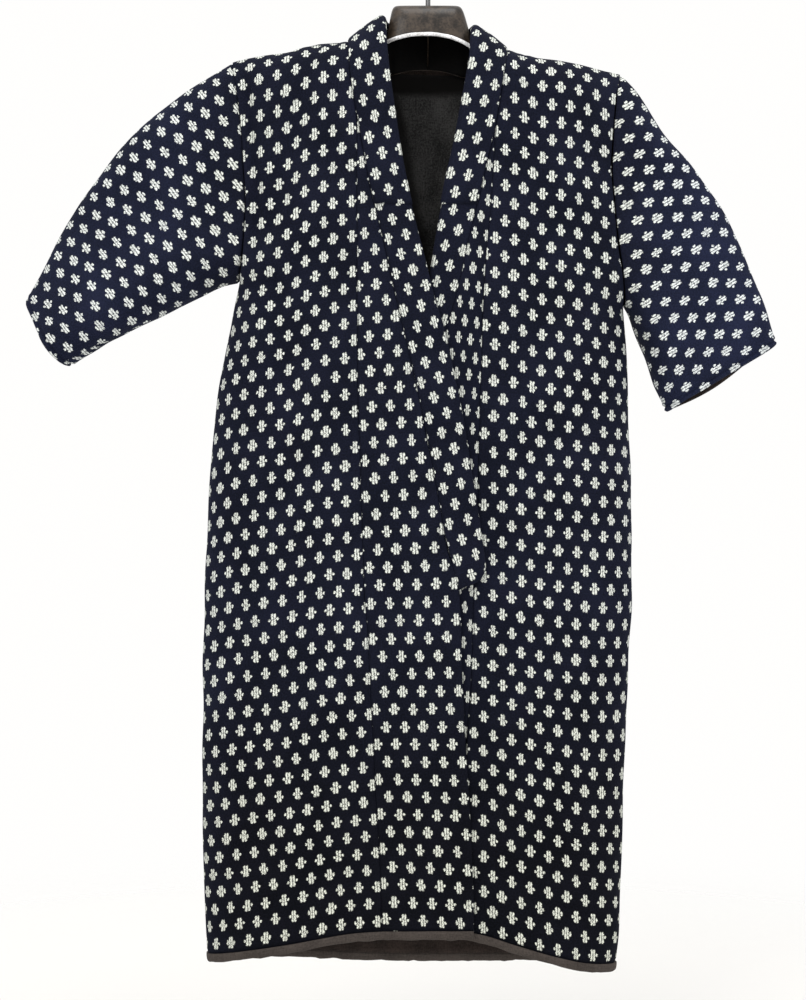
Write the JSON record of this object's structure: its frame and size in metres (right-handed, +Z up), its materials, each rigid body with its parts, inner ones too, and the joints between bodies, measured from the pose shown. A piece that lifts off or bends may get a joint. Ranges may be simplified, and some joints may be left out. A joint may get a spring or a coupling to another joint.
{
  "type": "padded kimono on a hanger",
  "caption": "Padded winter kimono in dark kasuri cotton with crossed fronts, banded collar and tapered sleeves, on a moulded hanger with a wire hook.",
  "frame": {"origin": "inside top of the hook, where a rail carries it", "axes": "+Z up, +X to the viewer's right, the front faces -Y"},
  "size_m": [0.9044, 0.1105, 1.2233],
  "materials": {
    "kasuri_cotton": "plain-woven indigo cotton with small white kasuri figures",
    "lining_cotton": "plain dark brown cotton",
    "hanger_plastic": "glossy dark brown",
    "hook_steel": "plated wire"
  },
  "bodies": {
    "root": {"body_right": "kasuri_cotton", "body_left": "kasuri_cotton", "okumi_right": "kasuri_cotton", "okumi_left": "kasuri_cotton", "collar": "kasuri_cotton", "over_collar": "kasuri_cotton", "sleeve_right": "kasuri_cotton", "sleeve_left": "kasuri_cotton", "hem_band": "lining_cotton", "neck_lining": "lining_cotton", "hem_lining": "lining_cotton", "hanger": "hanger_plastic", "hook": "hook_steel"}
  },
  "joints": []
}
